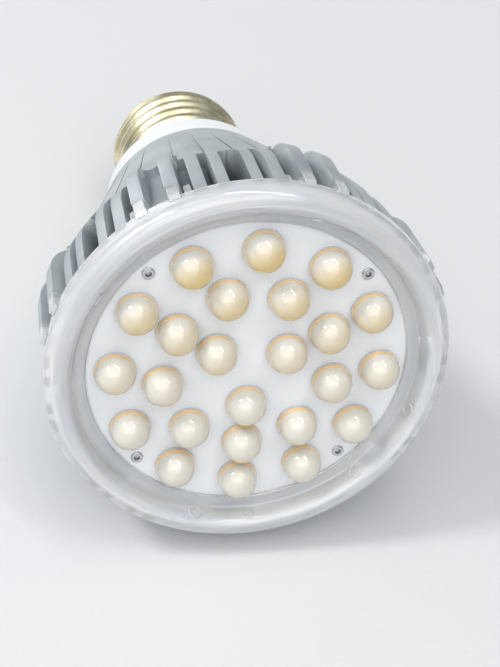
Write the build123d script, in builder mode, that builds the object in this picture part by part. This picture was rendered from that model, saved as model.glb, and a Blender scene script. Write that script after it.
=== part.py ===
"""A reflector-shaped LED lamp with a finned die-cast heat sink and a medium screw base.

The axis of the lamp is Z. The beam leaves towards +Z. The origin is on the axis where the
rim of the brass screw shell meets the shoulder of the white collar. Sizes are in millimetres.
"""
import os
from math import asin, cos, degrees, radians, sin, tan

from build123d import *

# The light engine
board_face = 57.6
board_radius = 24.2
board_thickness = 1.6
pad_thickness = 0.5
pad_radius = 23.6
outer_ring_radius = 19.6
outer_ring_count = 12
middle_ring_radius = 12.8
middle_ring_count = 9
inner_ring_radius = 5.95
inner_ring_count = 3
led_radius = 2.98
led_puck_radius = 3.05
led_puck_height = 1.2
rivet_circle_radius = 22.1
rivet_count = 4
rivet_head_radius = 0.95
rivet_bore_radius = 0.45
rivet_head_height = 0.3
rivet_length = 4.0
rivet_head_round = 0.2
rivet_bore_depth = 2.2
rivet_shank_radius = 0.75
rivet_hole_depth = 2.6
board_hole_radius = 0.8
board_edge_chamfer = 0.25
board_wire_hole_radius = 3.4

# The clear trim ring
ring_outer_radius = 29.8
ring_lip_radius = 23.7
ring_root_radius = 25.5
ring_crest_height = 3.5
ring_lip_height = 0.55
ring_root_rise = 0.15
ring_bead_radius = 2.3
ring_ledge_radius = 26.4
ring_wall = 1.4
ring_rear = 57.2
hook_width = 1.1
hook_inner_radius = 27.3
hook_outer_radius = 28.5
hook_length = 4.8
barb_height = 1.2
barb_reach = 0.9
lug_width = 1.7
lug_inner_radius = 28.7
lug_outer_radius = 30.4
lug_rear = 54.7

# The heat sink
collar_top = 8.2
neck_radius = 17.6
neck_end_height = 38.8
neck_end_radius = 25.9
low_fin_radius = 29.3
tall_fin_radius = 30.4
tall_fin_bulge_height = 47.6
low_fin_bulge_height = 49.5
bore_radius = 14.6
web_bottom = 49.5
plate_radius = 25.2
plate_bottom = 52.0
middle_floor_radius = 21.5
slot_floor_radius = 25.3
floor_flare_height = 50.0
floor_flare_radius = 28.4
slot_draft = 4.0
slot_outer_radius = 33.0
hook_ledge_radius = 27.2
hook_ledge_height = 53.7
board_recess_radius = 24.3
lug_seat_radius = 28.6
fin_sectors = 8
first_pair_angle = 30.0
# Each slot is its angle from the pair centre, its width at the low fins and the height of its end
pair_slot = (0.0, 2.9, 39.4)
first_slot = (8.3, 1.7, 40.4)
second_slot = (15.0, 1.45, 41.4)
middle_slot = (22.5, 3.0, 43.6)
groove_width = 0.35
groove_depth = 0.6
groove_angles = (-17.5, -7.0, 7.0, 17.5)
groove_bottom = 10.5
groove_top = 42.4
web_hole_radius = 3.6

# The driver housing with its collar
collar_rear_radius = 16.3
sleeve_radius = 14.4
sleeve_wall = 1.2
sleeve_top = 48.4
cap_thickness = 1.1
spigot_radius = 11.7
spigot_wall = 1.4
spigot_length = 21.0
boss_circle_radius = 11.4
boss_radius = 2.1
boss_length = 6.5
boss_hole_depth = 5.7
screw_radius = 0.95
screw_head_radius = 2.3
screw_head_height = 1.8
screw_head_round = 0.5
screw_shank_length = 10.0
screw_slot_length = 2.6
screw_slot_width = 0.6
screw_slot_depth = 0.6
screw_hole_radius = 1.4
screw_sink_radius = 2.6
screw_sink_depth = 1.9
cap_hole_radius = 3.0
rail_depth = 1.7
rail_thickness = 1.0

# The screw base
thread_crest_radius = 13.1
thread_root_radius = 12.15
thread_pitch = 3.63
thread_turns = 5
shell_band = 4.25
shell_wall = 0.3
shell_end_radius = 11.5
shell_end_height = 1.6
shell_fit = 0.05
plug_height = 1.0
stem_radius = 0.95
stem_height = 1.7
insulator_height = 2.3
contact_radius = 4.6
contact_height = 1.3

# The driver
driver_width = 24.4
driver_bottom = 5.0
driver_top = 44.0
driver_thickness = 1.2
board_notch_width = 5.0
board_notch_height = 3.0
crimp_height = 1.2
crimp_depth = 0.4
core_width = 13.0
core_depth = 7.5
core_height = 12.0
core_bottom = 28.5
core_clearance = 2.5
core_leg = 2.6
coil_depth = 10.6
block_round = 0.25
choke_x = 5.4
choke_z = 25.0
choke_radius = 3.8
choke_waist_radius = 3.1
choke_height = 7.5
choke_flange = 1.2
fuse_start = 1.0
fuse_length = 8.5
fuse_radius = 1.9
fuse_z = 10.2
varistor_x = 4.6
varistor_z = 16.8
varistor_radius = 3.6
varistor_thickness = 2.8
wire_radius = 0.65
led_wire_x = 1.6

os.makedirs("parts", exist_ok=True)
written = []


def save(piece, label):
    """Gives a finished piece its name and writes it."""
    piece.label = label
    export_step(piece, f"parts/{label}.step")
    written.append(label)


# The thermal pad lies on the front plate of the heat sink, and the board lies on the pad
board_back = board_face - board_thickness
plate_face = board_back - pad_thickness

# The LED board: an aluminium-core disc with four rivet holes
with BuildPart() as led_board:
    with BuildSketch(Plane.XY.offset(board_back)):
        Circle(board_radius)
        with PolarLocations(rivet_circle_radius, rivet_count, start_angle=45):
            Circle(board_hole_radius, mode=Mode.SUBTRACT)
    extrude(amount=board_thickness)
    chamfer(led_board.faces().sort_by(Axis.Z)[-1].outer_wire().edges(), board_edge_chamfer)
save(led_board.part, "led_board")

# The thermal pad has the same rivet holes and a hole for the wires
with BuildPart() as thermal_pad:
    with BuildSketch(Plane.XY.offset(plate_face)):
        Circle(pad_radius)
        Circle(board_wire_hole_radius, mode=Mode.SUBTRACT)
        with PolarLocations(rivet_circle_radius, rivet_count, start_angle=45):
            Circle(board_hole_radius, mode=Mode.SUBTRACT)
    extrude(amount=pad_thickness)
save(thermal_pad.part, "thermal_pad")

# The rivets: hollow, with a turned head on the face of the board
with BuildPart() as board_rivets:
    with BuildSketch(Plane.XY.offset(board_face)):
        with PolarLocations(rivet_circle_radius, rivet_count, start_angle=45):
            Circle(rivet_head_radius)
    extrude(amount=rivet_head_height)
    fillet(board_rivets.faces().group_by(Axis.Z)[-1].edges(), rivet_head_round)
    with BuildSketch(Plane.XY.offset(board_face)):
        with PolarLocations(rivet_circle_radius, rivet_count, start_angle=45):
            Circle(rivet_shank_radius)
    extrude(amount=-rivet_length)
    with BuildSketch(Plane.XY.offset(board_face + rivet_head_height)):
        with PolarLocations(rivet_circle_radius, rivet_count, start_angle=45):
            Circle(rivet_bore_radius)
    extrude(amount=-rivet_bore_depth, mode=Mode.SUBTRACT)
save(board_rivets.part, "board_rivets")


def make_led(x, y, label):
    """One LED: a short round base of phosphor with a moulded dome on it."""
    dome_base = board_face + led_puck_height
    with BuildPart() as led:
        with BuildSketch(Plane(origin=(x, y, 0), x_dir=(1, 0, 0), z_dir=(0, -1, 0))):
            with BuildLine():
                Polyline(
                    (0, board_face),
                    (led_puck_radius, board_face),
                    (led_puck_radius, dome_base),
                    (led_radius, dome_base),
                )
                CenterArc((0, dome_base), led_radius, 0, 90)
                Line((0, dome_base + led_radius), (0, board_face))
            make_face()
        revolve(axis=Axis((x, y, 0), (0, 0, 1)))
    save(led.part, label)


# The LEDs stand in three rings of twelve, nine and three
led_rings = [
    ("outer", outer_ring_radius, outer_ring_count, 90.0),
    ("middle", middle_ring_radius, middle_ring_count, 30.0),
    ("inner", inner_ring_radius, inner_ring_count, 30.0),
]
for ring_name, ring_radius, ring_count, start_angle in led_rings:
    for index in range(ring_count):
        angle = radians(start_angle + index * 360.0 / ring_count)
        label = f"led_{ring_name}_{index + 1:02d}"
        make_led(ring_radius * cos(angle), ring_radius * sin(angle), label)


# The heat sink is one casting. Its slots leave six fins in each sector of 45 degrees, and the two
# fins either side of the pair slot stand taller. The cutters run past the front of the fins.
slot_front = ring_rear + 1.0


def fin_outline(bulge_height, fin_radius, front):
    """The outer outline from the neck to the front, as a straight cone, an arc and a flat."""
    Line((neck_radius, collar_top), (neck_end_radius, neck_end_height))
    TangentArc((fin_radius, bulge_height), (neck_end_radius, neck_end_height), tangent=(0, -1))
    Line((fin_radius, bulge_height), (fin_radius, front))


# Between the pairs the fins are lower
low_start = first_slot[0] + first_pair_angle
sector_angle = 360.0 / fin_sectors
with BuildPart() as low_cut:
    with BuildSketch(Plane.XZ):
        with BuildLine():
            fin_outline(low_fin_bulge_height, low_fin_radius, ring_rear)
            Polyline(
                (low_fin_radius, ring_rear),
                (low_fin_radius, slot_front),
                (slot_outer_radius, slot_front),
                (slot_outer_radius, collar_top),
                (neck_radius, collar_top),
            )
        make_face()
    revolve(axis=Axis.Z, revolution_arc=sector_angle - 2 * first_slot[0])

# The tall fins stop short of the trim ring, which has a lug there
with BuildPart() as lug_cut:
    with BuildSketch(Plane.XZ):
        with BuildLine():
            Polyline(
                (lug_seat_radius, lug_rear),
                (slot_outer_radius, lug_rear),
                (slot_outer_radius, slot_front),
                (lug_seat_radius, slot_front),
                (lug_seat_radius, lug_rear),
            )
        make_face()
    revolve(axis=Axis.Z, revolution_arc=2 * first_slot[0])


def slot_cutter(width, end, draft, floor):
    """A slot with a round rear end. Its sides close in towards the floor, a list of (r, z) points."""
    bottom_radius = floor[0][0]
    depth = slot_outer_radius - bottom_radius
    mouth_width = width + 2 * (slot_outer_radius - low_fin_radius) * tan(radians(draft))
    round_centre = end + width / 2
    mouth_front = slot_front + depth
    with BuildPart() as slot:
        with BuildSketch(Plane.XZ.offset(-slot_outer_radius)):
            with Locations((0, (round_centre + mouth_front) / 2)):
                Rectangle(mouth_width, mouth_front - round_centre)
            with Locations((0, round_centre)):
                Circle(mouth_width / 2)
        extrude(amount=depth, taper=draft)
        with BuildSketch(Plane.YZ.offset(-mouth_width)):
            with BuildLine():
                Polyline(
                    (bottom_radius, end - mouth_width),
                    *floor,
                    (slot_outer_radius, slot_front),
                    (slot_outer_radius, end - mouth_width),
                    (bottom_radius, end - mouth_width),
                )
            make_face()
        extrude(amount=2 * mouth_width, mode=Mode.INTERSECT)
    return slot.part


# The floors: flaring to the front, stepped for the hook of the trim ring, or deep under the plate
flared_floor = [
    (slot_floor_radius, floor_flare_height),
    (floor_flare_radius, ring_rear),
    (floor_flare_radius, slot_front),
]
hook_floor = [
    (plate_radius, hook_ledge_height),
    (hook_ledge_radius, hook_ledge_height),
    (hook_ledge_radius, slot_front),
]
deep_floor = [
    (middle_floor_radius, plate_bottom),
    (plate_radius, plate_bottom),
    (plate_radius, slot_front),
]

# A thin groove follows the cone of the neck from a little above the collar to the slot
cone_slope = (neck_end_radius - neck_radius) / (neck_end_height - collar_top)
groove_foot = neck_radius + cone_slope * (groove_bottom - collar_top)
groove_head = neck_end_radius + cone_slope * (groove_top - neck_end_height)
with BuildPart() as groove:
    with BuildSketch(Plane.YZ.offset(-groove_width / 2)):
        with BuildLine():
            Polyline(
                (groove_foot, groove_bottom),
                (groove_head - groove_depth, groove_top),
                (slot_outer_radius, groove_top),
                (slot_outer_radius, groove_bottom),
                (groove_foot, groove_bottom),
            )
        make_face()
    extrude(amount=groove_width)

# One cutter of each kind, then its copies around the axis
cut_kinds = [
    (slot_cutter(*pair_slot[1:], slot_draft, flared_floor), [pair_slot[0]]),
    (slot_cutter(*first_slot[1:], slot_draft, hook_floor), [-first_slot[0], first_slot[0]]),
    (slot_cutter(*second_slot[1:], slot_draft, flared_floor), [-second_slot[0], second_slot[0]]),
    (slot_cutter(*middle_slot[1:], 0, deep_floor), [middle_slot[0]]),
    (groove.part, groove_angles),
]
cutters = []
for sector in range(fin_sectors):
    turn = sector * sector_angle
    cutters.append(low_cut.part.rotate(Axis.Z, low_start + turn))
    cutters.append(lug_cut.part.rotate(Axis.Z, first_pair_angle - first_slot[0] + turn))
    for cutter, angles in cut_kinds:
        for angle in angles:
            cutters.append(cutter.rotate(Axis.Z, first_pair_angle + angle + turn - 90))

with BuildPart() as heat_sink:
    with BuildSketch(Plane.XZ):
        with BuildLine():
            fin_outline(tall_fin_bulge_height, tall_fin_radius, ring_rear)
            Polyline(
                (tall_fin_radius, ring_rear),
                (board_recess_radius, ring_rear),
                (board_recess_radius, plate_face),
                (0, plate_face),
                (0, web_bottom),
                (bore_radius, web_bottom),
                (bore_radius, collar_top),
                (neck_radius, collar_top),
            )
        make_face()
    revolve(axis=Axis.Z)
    add(cutters, mode=Mode.SUBTRACT)
    # Holes for the wires, the housing screws and the rivets
    with BuildSketch(Plane.XY.offset(plate_face)):
        Circle(web_hole_radius)
    extrude(amount=-(plate_face - web_bottom), mode=Mode.SUBTRACT)
    with Locations(Plane.XY.offset(plate_face)):
        with PolarLocations(boss_circle_radius, 2, start_angle=90):
            CounterBoreHole(
                screw_hole_radius,
                screw_sink_radius,
                screw_sink_depth,
                depth=plate_face - web_bottom,
            )
        with PolarLocations(rivet_circle_radius, rivet_count, start_angle=45):
            Hole(rivet_shank_radius, depth=rivet_hole_depth)
save(heat_sink.part, "heat_sink")

# The trim ring is one clear moulding: a lip on the board, a round bead and a thin outer wall,
# with hooks that reach into the slots and lugs in front of the tall fins
crest_top = board_face + ring_crest_height
lip_top = board_face + ring_lip_height
bead_centre = (ring_outer_radius - ring_bead_radius, crest_top - ring_bead_radius)
inner_bead_radius = ring_bead_radius - ring_wall
wall_inner_radius = ring_outer_radius - ring_wall
join_height = ring_rear + 0.6
hook_end = ring_rear - hook_length
with BuildPart() as hook:
    with BuildSketch(Plane.YZ.offset(-hook_width / 2)):
        with BuildLine():
            Polyline(
                (hook_inner_radius + 0.6, join_height),
                (hook_inner_radius, hook_end + barb_height),
                (hook_inner_radius - barb_reach, hook_end + barb_height),
                (hook_inner_radius + 0.2, hook_end),
                (hook_outer_radius, hook_end),
                (wall_inner_radius + 0.4, join_height),
                (hook_inner_radius + 0.6, join_height),
            )
        make_face()
    extrude(amount=hook_width)
with BuildPart() as lug:
    with BuildSketch(Plane.YZ.offset(-lug_width / 2)):
        with BuildLine():
            Polyline(
                (wall_inner_radius, join_height),
                (lug_inner_radius, join_height),
                (lug_inner_radius, lug_rear),
                (lug_outer_radius, lug_rear),
                (lug_outer_radius, join_height),
                (ring_outer_radius - 0.1, join_height + 1.0),
                (wall_inner_radius, join_height),
            )
        make_face()
    extrude(amount=lug_width)
pair_half_angle = degrees(asin(pair_slot[1] / 2 / tall_fin_radius))
first_half_angle = degrees(asin(first_slot[1] / 2 / tall_fin_radius))
tall_fin_angle = (pair_half_angle + first_slot[0] - first_half_angle) / 2
ring_pieces = []
for sector in range(fin_sectors):
    centre = first_pair_angle + sector * sector_angle - 90
    for side in (-1, 1):
        ring_pieces.append(hook.part.rotate(Axis.Z, centre + side * first_slot[0]))
        ring_pieces.append(lug.part.rotate(Axis.Z, centre + side * tall_fin_angle))

with BuildPart() as trim_ring:
    with BuildSketch(Plane.XZ):
        with BuildLine():
            Polyline(
                (ring_ledge_radius, board_face),
                (ring_lip_radius, board_face),
                (ring_lip_radius, lip_top),
                (ring_root_radius, lip_top + ring_root_rise),
            )
            Spline(
                (ring_root_radius, lip_top + ring_root_rise),
                bead_centre + Vector(0, ring_bead_radius),
                tangents=((0.55, 1), (1, 0)),
            )
            CenterArc(bead_centre, ring_bead_radius, 0, 90)
            Polyline(
                (ring_outer_radius, bead_centre[1]),
                (ring_outer_radius, ring_rear),
                (wall_inner_radius, ring_rear),
                (wall_inner_radius, bead_centre[1]),
            )
            CenterArc(bead_centre, inner_bead_radius, 0, 90)
            Polyline(
                (bead_centre[0], bead_centre[1] + inner_bead_radius),
                (ring_ledge_radius + 0.5, bead_centre[1] + 0.2),
                (ring_ledge_radius, board_face),
            )
        make_face()
    revolve(axis=Axis.Z)
    add(ring_pieces)
save(trim_ring.part, "trim_ring")

# The driver housing is one white moulding: the collar that shows, the sleeve inside the heat sink
# and the spigot inside the screw shell
with BuildPart() as driver_housing:
    with BuildSketch(Plane.XZ):
        with BuildLine():
            Polyline(
                (spigot_radius, -spigot_length),
                (spigot_radius, 0),
                (collar_rear_radius - 0.5, 0),
                (collar_rear_radius, 0.5),
                (neck_radius, collar_top),
                (sleeve_radius, collar_top),
                (sleeve_radius, sleeve_top),
                (sleeve_radius - sleeve_wall, sleeve_top),
                (sleeve_radius - sleeve_wall, 2.6),
                (spigot_radius - spigot_wall, 0.2),
                (spigot_radius - spigot_wall, -spigot_length),
                (spigot_radius, -spigot_length),
            )
        make_face()
    revolve(axis=Axis.Z)
    # Two bosses take the screws that come through the front plate
    with BuildSketch(Plane.XY.offset(sleeve_top)):
        with PolarLocations(boss_circle_radius, 2, start_angle=90):
            Circle(boss_radius)
    extrude(amount=-boss_length)
    with Locations(Plane.XY.offset(sleeve_top)):
        with PolarLocations(boss_circle_radius, 2, start_angle=90):
            Hole(screw_radius, depth=boss_hole_depth)
    # Rails hold the two long edges of the driver board
    rail_x = sleeve_radius - sleeve_wall - rail_depth / 2 + 0.1
    rail_y = driver_thickness / 2 + 0.1 + rail_thickness / 2
    with BuildSketch(Plane.XY.offset(driver_bottom)):
        with Locations((rail_x, rail_y), (rail_x, -rail_y), (-rail_x, rail_y), (-rail_x, -rail_y)):
            Rectangle(rail_depth, rail_thickness)
    extrude(amount=driver_top - driver_bottom)
save(driver_housing.part, "driver_housing")

# An insulating cap closes the sleeve under the front plate
with BuildPart() as sleeve_cap:
    with BuildSketch(Plane.XY.offset(sleeve_top)):
        Circle(sleeve_radius)
        Circle(cap_hole_radius, mode=Mode.SUBTRACT)
        with PolarLocations(boss_circle_radius, 2, start_angle=90):
            Circle(screw_hole_radius, mode=Mode.SUBTRACT)
    extrude(amount=cap_thickness)
save(sleeve_cap.part, "sleeve_cap")

# The two screws that clamp the housing to the front plate
head_seat = plate_face - screw_sink_depth
head_top = head_seat + screw_head_height
with BuildPart() as housing_screws:
    with BuildSketch(Plane.XY.offset(head_seat)):
        with PolarLocations(boss_circle_radius, 2, start_angle=90):
            Circle(screw_head_radius)
    extrude(amount=screw_head_height)
    fillet(housing_screws.faces().group_by(Axis.Z)[-1].edges(), screw_head_round)
    with BuildSketch(Plane.XY.offset(head_seat)):
        with PolarLocations(boss_circle_radius, 2, start_angle=90):
            Circle(screw_radius)
    extrude(amount=-screw_shank_length)
    with BuildSketch(Plane.XY.offset(head_top)):
        with PolarLocations(boss_circle_radius, 2, start_angle=90):
            Rectangle(screw_slot_length, screw_slot_width)
            Rectangle(screw_slot_width, screw_slot_length)
    extrude(amount=-screw_slot_depth, mode=Mode.SUBTRACT)
save(housing_screws.part, "housing_screws")


# The brass shell is a thin pressing with a plain band and rolled rounds of thread
def thread_outline(inset):
    """The wavy outline from the band down to the end of the shell, moved inwards by inset."""
    crest = thread_crest_radius - inset
    root = thread_root_radius - inset
    Line((crest, 0), (crest, -shell_band))
    height = -shell_band
    for _ in range(thread_turns):
        Spline(
            (crest, height),
            (root, height - thread_pitch / 2),
            (crest, height - thread_pitch),
            tangents=((0, -1), (0, -1)),
        )
        height -= thread_pitch
    end = (shell_end_radius - inset, height - shell_end_height)
    Spline((crest, height), end, tangents=((0, -1), (-0.5, -0.85)))


shell_end = -shell_band - thread_turns * thread_pitch - shell_end_height
with BuildPart() as screw_shell:
    with BuildSketch(Plane.XZ):
        with BuildLine():
            thread_outline(0)
            thread_outline(shell_wall)
            Line((thread_crest_radius, 0), (thread_crest_radius - shell_wall, 0))
            Line((shell_end_radius, shell_end), (shell_end_radius - shell_wall, shell_end))
        make_face()
    revolve(axis=Axis.Z)
save(screw_shell.part, "screw_shell")

# The glass insulator closes the end of the shell, and the contact is set in it
insulator_end = shell_end - insulator_height
plug_radius = shell_end_radius - shell_wall - shell_fit
plug_top = shell_end + plug_height
rim_radius = contact_radius + 1.0
with BuildPart() as base_insulator:
    with BuildSketch(Plane.XZ):
        with BuildLine():
            Polyline(
                (plug_radius, plug_top),
                (plug_radius, shell_end),
                (shell_end_radius, shell_end),
            )
            Spline(
                (shell_end_radius, shell_end),
                (rim_radius, insulator_end),
                tangents=((-0.3, -1), (-1, -0.25)),
            )
            Polyline(
                (rim_radius, insulator_end),
                (stem_radius, insulator_end),
                (stem_radius, plug_top),
                (plug_radius, plug_top),
            )
        make_face()
    revolve(axis=Axis.Z)
save(base_insulator.part, "base_insulator")

contact_tip = insulator_end - contact_height
stem_top = shell_end + stem_height
with BuildPart() as centre_contact:
    with BuildSketch(Plane.XZ):
        with BuildLine():
            Polyline(
                (0, stem_top),
                (stem_radius, stem_top),
                (stem_radius, insulator_end),
                (contact_radius, insulator_end),
            )
            Spline(
                (contact_radius, insulator_end),
                (0, contact_tip),
                tangents=((-0.3, -1), (-1, 0)),
            )
            Line((0, contact_tip), (0, stem_top))
        make_face()
    revolve(axis=Axis.Z)
save(centre_contact.part, "centre_contact")

# The driver board stands on edge in the sleeve, and its parts sit on its two faces
face = driver_thickness / 2
with BuildPart() as driver_board:
    with BuildSketch(Plane.XZ.offset(-face)):
        with Locations((0, (driver_bottom + driver_top) / 2)):
            Rectangle(driver_width, driver_top - driver_bottom)
        with Locations((-driver_width / 2, driver_bottom), (driver_width / 2, driver_bottom)):
            Rectangle(board_notch_width, board_notch_height, mode=Mode.SUBTRACT)
    extrude(amount=driver_thickness)
save(driver_board.part, "driver_board")


def standing_can(x, bottom, radius, height, label):
    """An electrolytic capacitor that lies against the board, with its crimped groove."""
    y = face + radius
    with BuildPart() as can:
        with BuildSketch(Plane(origin=(x, y, bottom), x_dir=(1, 0, 0), z_dir=(0, -1, 0))):
            with BuildLine():
                Polyline(
                    (0, 0),
                    (radius, 0),
                    (radius, crimp_height),
                    (radius - crimp_depth, crimp_height + crimp_depth),
                    (radius, crimp_height + 2 * crimp_depth),
                    (radius, height),
                    (0, height),
                    (0, 0),
                )
            make_face()
        revolve(axis=Axis((x, y, bottom), (0, 0, 1)))
        fillet(can.faces().sort_by(Axis.Z)[-1].edges(), crimp_depth)
    save(can.part, label)


standing_can(-5.2, 9.0, 5.0, 17.0, "input_capacitor")
standing_can(5.2, 9.0, 4.0, 12.0, "output_capacitor")

# The transformer: a ferrite frame around a wound coil
core_middle = core_bottom + core_height / 2
window_width = core_width - 2 * core_leg
window_height = core_height - 2 * core_leg
with BuildPart() as transformer_core:
    with BuildSketch(Plane.XZ.offset(-(face + core_clearance))):
        with Locations((0, core_middle)):
            Rectangle(core_width, core_height)
    extrude(amount=-core_depth)
    chamfer(transformer_core.edges().filter_by(Axis.Y), 0.3)
    with BuildSketch(Plane.XZ.offset(-(face + core_clearance))):
        with Locations((0, core_middle)):
            Rectangle(window_width, window_height)
    extrude(amount=-core_depth, mode=Mode.SUBTRACT)
save(transformer_core.part, "transformer_core")
with BuildPart() as transformer_coil:
    with BuildSketch(Plane.XZ.offset(-face)):
        with Locations((0, core_middle)):
            Rectangle(window_width, window_height)
    extrude(amount=-coil_depth)
    fillet(transformer_coil.faces().sort_by(Axis.Y)[-1].edges(), 0.5)
save(transformer_coil.part, "transformer_coil")


def block(x, bottom, width, depth, height, label):
    """A moulded block on the far face of the board."""
    with BuildPart() as piece:
        with BuildSketch(Plane.XZ.offset(face)):
            with Locations((x, bottom + height / 2)):
                Rectangle(width, height)
        extrude(amount=depth)
        fillet(piece.faces().sort_by(Axis.Y)[0].edges(), block_round)
    save(piece.part, label)


block(-5.5, 32.0, 5.0, 1.7, 4.4, "driver_chip")
block(-6.0, 11.0, 6.2, 2.6, 5.0, "bridge_rectifier")
block(-5.2, 19.5, 10.0, 5.0, 9.0, "film_capacitor")
block(1.5, 34.0, 4.4, 2.0, 2.6, "output_diode")

# The choke is a drum of ferrite on the far face, drawn in where the wire is wound
choke_plane = Plane(origin=(choke_x, -face, choke_z), x_dir=(1, 0, 0), z_dir=(0, 0, -1))
with BuildPart() as choke:
    with BuildSketch(choke_plane):
        with BuildLine():
            Polyline(
                (0, 0),
                (choke_radius, 0),
                (choke_radius, choke_flange),
                (choke_waist_radius, choke_flange),
                (choke_waist_radius, choke_height - choke_flange),
                (choke_radius, choke_height - choke_flange),
                (choke_radius, choke_height),
                (0, choke_height),
                (0, 0),
            )
        make_face()
    revolve(axis=Axis((choke_x, 0, choke_z), (0, 1, 0)))
save(choke.part, "choke")

# The fusible resistor lies across the board, and the varistor lies flat on it
with BuildPart() as fuse_resistor:
    with BuildSketch(Plane.YZ.offset(fuse_start)):
        with Locations((-face - fuse_radius, fuse_z)):
            Circle(fuse_radius)
    extrude(amount=fuse_length)
    fillet(fuse_resistor.edges().filter_by(GeomType.CIRCLE), 0.5)
save(fuse_resistor.part, "fuse_resistor")
with BuildPart() as varistor:
    with BuildSketch(Plane.XZ.offset(face)):
        with Locations((varistor_x, varistor_z)):
            Circle(varistor_radius)
    extrude(amount=varistor_thickness)
    fillet(varistor.edges().filter_by(GeomType.CIRCLE), 0.6)
save(varistor.part, "varistor")


def run_wire(points, bend, label):
    """An insulated wire along straight runs joined by arcs."""
    with BuildPart() as wire:
        with BuildLine():
            route = FilletPolyline(*points, radius=bend) if len(points) > 2 else Line(*points)
        with BuildSketch(Plane(origin=route @ 0, z_dir=route % 0)):
            Circle(wire_radius)
        sweep(path=route)
    save(wire.part, label)


# Two wires feed the board through the hole in the front plate
wire_y = -face - wire_radius
for wire_x, label in ((-led_wire_x, "led_wire_positive"), (led_wire_x, "led_wire_negative")):
    run_wire([(wire_x, wire_y, driver_top - 3.0), (wire_x, wire_y, board_back)], 0, label)

# One wire runs to the stem of the centre contact and the other to the end of the shell
wire_bottom = driver_bottom + 3.0
neutral_end = shell_end + 1.9
live_route = [
    (-2.5, wire_y, wire_bottom),
    (-2.5, wire_y, -8.0),
    (0, 0, -17.0),
    (0, 0, stem_top),
]
neutral_route = [
    (3.5, wire_y, wire_bottom),
    (3.5, wire_y, -7.0),
    (8.5, 0, -15.0),
    (8.5, 0, neutral_end),
    (12.2, 0, neutral_end),
]
run_wire(live_route, 3.0, "live_wire")
run_wire(neutral_route, 1.5, "neutral_wire")

lamp_top = board_face + led_puck_height + led_radius
print("pieces", len(written), "length", round(lamp_top - contact_tip, 1))
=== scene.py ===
"""The looks of a reflector-shaped LED lamp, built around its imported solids.

All lengths in the classes are millimetres in the lamp's own frame. The axis of the lamp is Z, the light
leaves towards +Z, and the origin is where the rim of the screw shell meets the shoulder of the collar.
"""
import logging
import math
from dataclasses import dataclass, field
from enum import Enum

import bmesh
import bpy
import numpy as np
from mathutils import Matrix, Vector


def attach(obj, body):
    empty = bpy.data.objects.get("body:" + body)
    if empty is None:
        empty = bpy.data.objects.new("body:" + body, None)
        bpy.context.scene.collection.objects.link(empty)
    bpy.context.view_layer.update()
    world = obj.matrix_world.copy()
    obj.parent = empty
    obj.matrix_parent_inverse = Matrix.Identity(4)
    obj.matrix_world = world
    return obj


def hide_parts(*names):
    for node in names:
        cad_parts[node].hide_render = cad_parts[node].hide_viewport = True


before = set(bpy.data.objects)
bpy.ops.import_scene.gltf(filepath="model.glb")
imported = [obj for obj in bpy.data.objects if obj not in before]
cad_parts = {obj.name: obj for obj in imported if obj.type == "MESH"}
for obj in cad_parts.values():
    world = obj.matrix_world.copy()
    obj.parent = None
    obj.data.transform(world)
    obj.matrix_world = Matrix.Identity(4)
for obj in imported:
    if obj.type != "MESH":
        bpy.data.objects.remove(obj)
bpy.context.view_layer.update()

MM = 0.001
SAME_POINT = 0.0001 * MM
FULL_TURN = 2 * np.pi
LOG = logging.getLogger("lamp")
Colour = tuple[float, float, float]


class Smoothing(Enum):
    """How a finished mesh is shaded, as the largest angle in degrees that still looks round."""

    ROUND = 180.0
    TURNED = 50.0
    CAST = 32.0


def arc(centre: tuple[float, float], radius: float, start: float, end: float, steps: int) -> np.ndarray:
    """Points on an arc in the (radius, height) plane.

    Formula: centre + radius * (cos a, sin a), with a running evenly from start to end in degrees.

    Args:
        centre: The arc's centre.
        radius: Its radius.
        start: The first angle in degrees.
        end: The last angle in degrees.
        steps: How many points.

    Returns:
        An array of shape (steps, 2).
    """
    angles = np.radians(np.linspace(start, end, steps))
    return np.column_stack([centre[0] + radius * np.cos(angles), centre[1] + radius * np.sin(angles)])


def rounded_outline(corners: list[tuple[float, float, float]], steps: int = 7) -> np.ndarray:
    """A closed outline whose corners are rounded.

    Formula: each corner is replaced by an arc of its radius, tangent to both of its sides; the arc is
    the corner plus the rotated bisector, sampled evenly by angle between the two tangent points.

    Args:
        corners: (radius from the axis, height, rounding) of each corner, in order.
        steps: Points on each rounding.

    Returns:
        An array of shape (points, 2).
    """
    points = np.array([corner[:2] for corner in corners])
    before = np.roll(points, 1, axis=0) - points
    after = np.roll(points, -1, axis=0) - points
    before /= np.linalg.norm(before, axis=1)[:, None]
    after /= np.linalg.norm(after, axis=1)[:, None]
    pieces = []
    for point, back, ahead, (_, _, rounding) in zip(points, before, after, corners):
        half = math.acos(float(np.clip(back @ ahead, -1.0, 1.0))) / 2
        reach = rounding / math.tan(half)
        bisector = (back + ahead) / np.linalg.norm(back + ahead)
        centre = point + bisector * rounding / math.sin(half)
        first = point + back * reach - centre
        last = point + ahead * reach - centre
        turn = math.atan2(first[0] * last[1] - first[1] * last[0], float(first @ last))
        angle = np.linspace(0.0, turn, steps)[:, None]
        across = np.array([-first[1], first[0]])
        pieces.append(centre + first * np.cos(angle) + across * np.sin(angle))
    return np.vstack(pieces)


def revolved(outline: np.ndarray, steps: int) -> np.ndarray:
    """A grid of points from an outline turned about the lamp's axis.

    Formula: (r cos a, r sin a, z) for each outline point (r, z) and each of the evenly spaced angles a.

    Args:
        outline: Array of shape (points, 2) of radius and height.
        steps: How many angles in a whole turn.

    Returns:
        An array of shape (points, steps, 3).
    """
    angle = np.linspace(0.0, FULL_TURN, steps, endpoint=False)
    radius = outline[:, 0][:, None]
    height = np.repeat(outline[:, 1][:, None], steps, axis=1)
    return np.stack([radius * np.cos(angle), radius * np.sin(angle), height], axis=2)


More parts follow.
